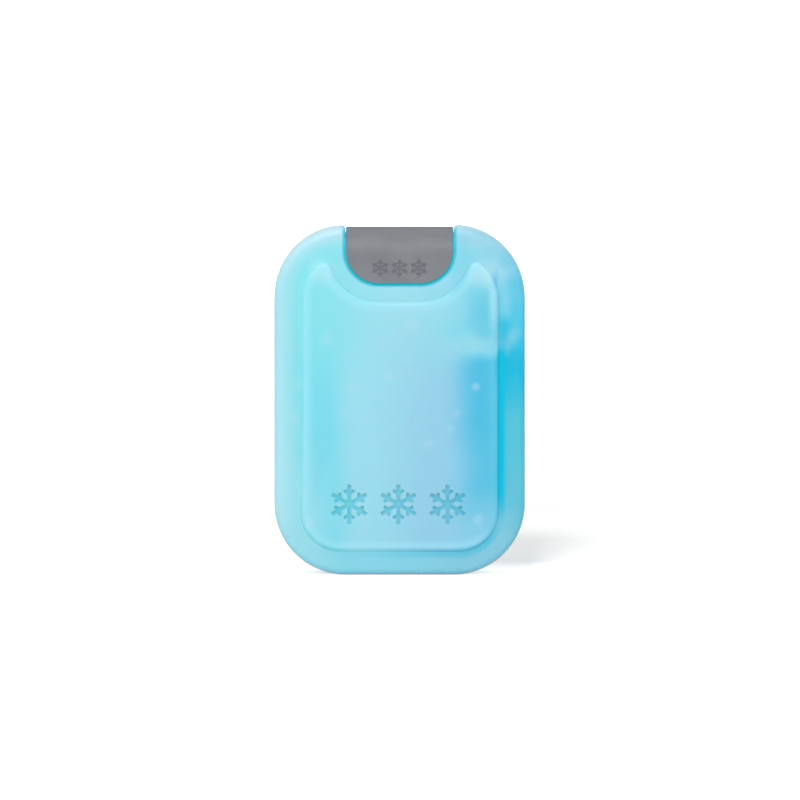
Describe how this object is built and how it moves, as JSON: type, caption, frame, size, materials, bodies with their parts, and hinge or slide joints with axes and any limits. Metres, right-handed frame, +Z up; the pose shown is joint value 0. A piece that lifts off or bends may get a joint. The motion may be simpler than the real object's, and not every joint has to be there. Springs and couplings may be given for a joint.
{
  "type": "reusable ice pack",
  "caption": "Small reusable ice pack: a frosted light blue hollow shell with raised panels, filled with gel and closed by a grey saddle cap over the top centre.",
  "frame": {"origin": "on the ground under the middle of the bottom edge, halfway through the thickness", "axes": "+Z up towards the cap, +Y towards the bare back panel, +X to the right seen from the front"},
  "size_m": [0.1098, 0.026, 0.1523],
  "materials": {
    "frosted_shell": "frosted translucent light blue, soft satin",
    "gel": "cloudy gel with small bubbles",
    "plug": "plain moulded",
    "grey_cap": "fine matte grain"
  },
  "bodies": {
    "root": {"shell": "frosted_shell", "coolant": "gel", "fill_plug": "plug", "cap": "grey_cap"}
  },
  "joints": []
}
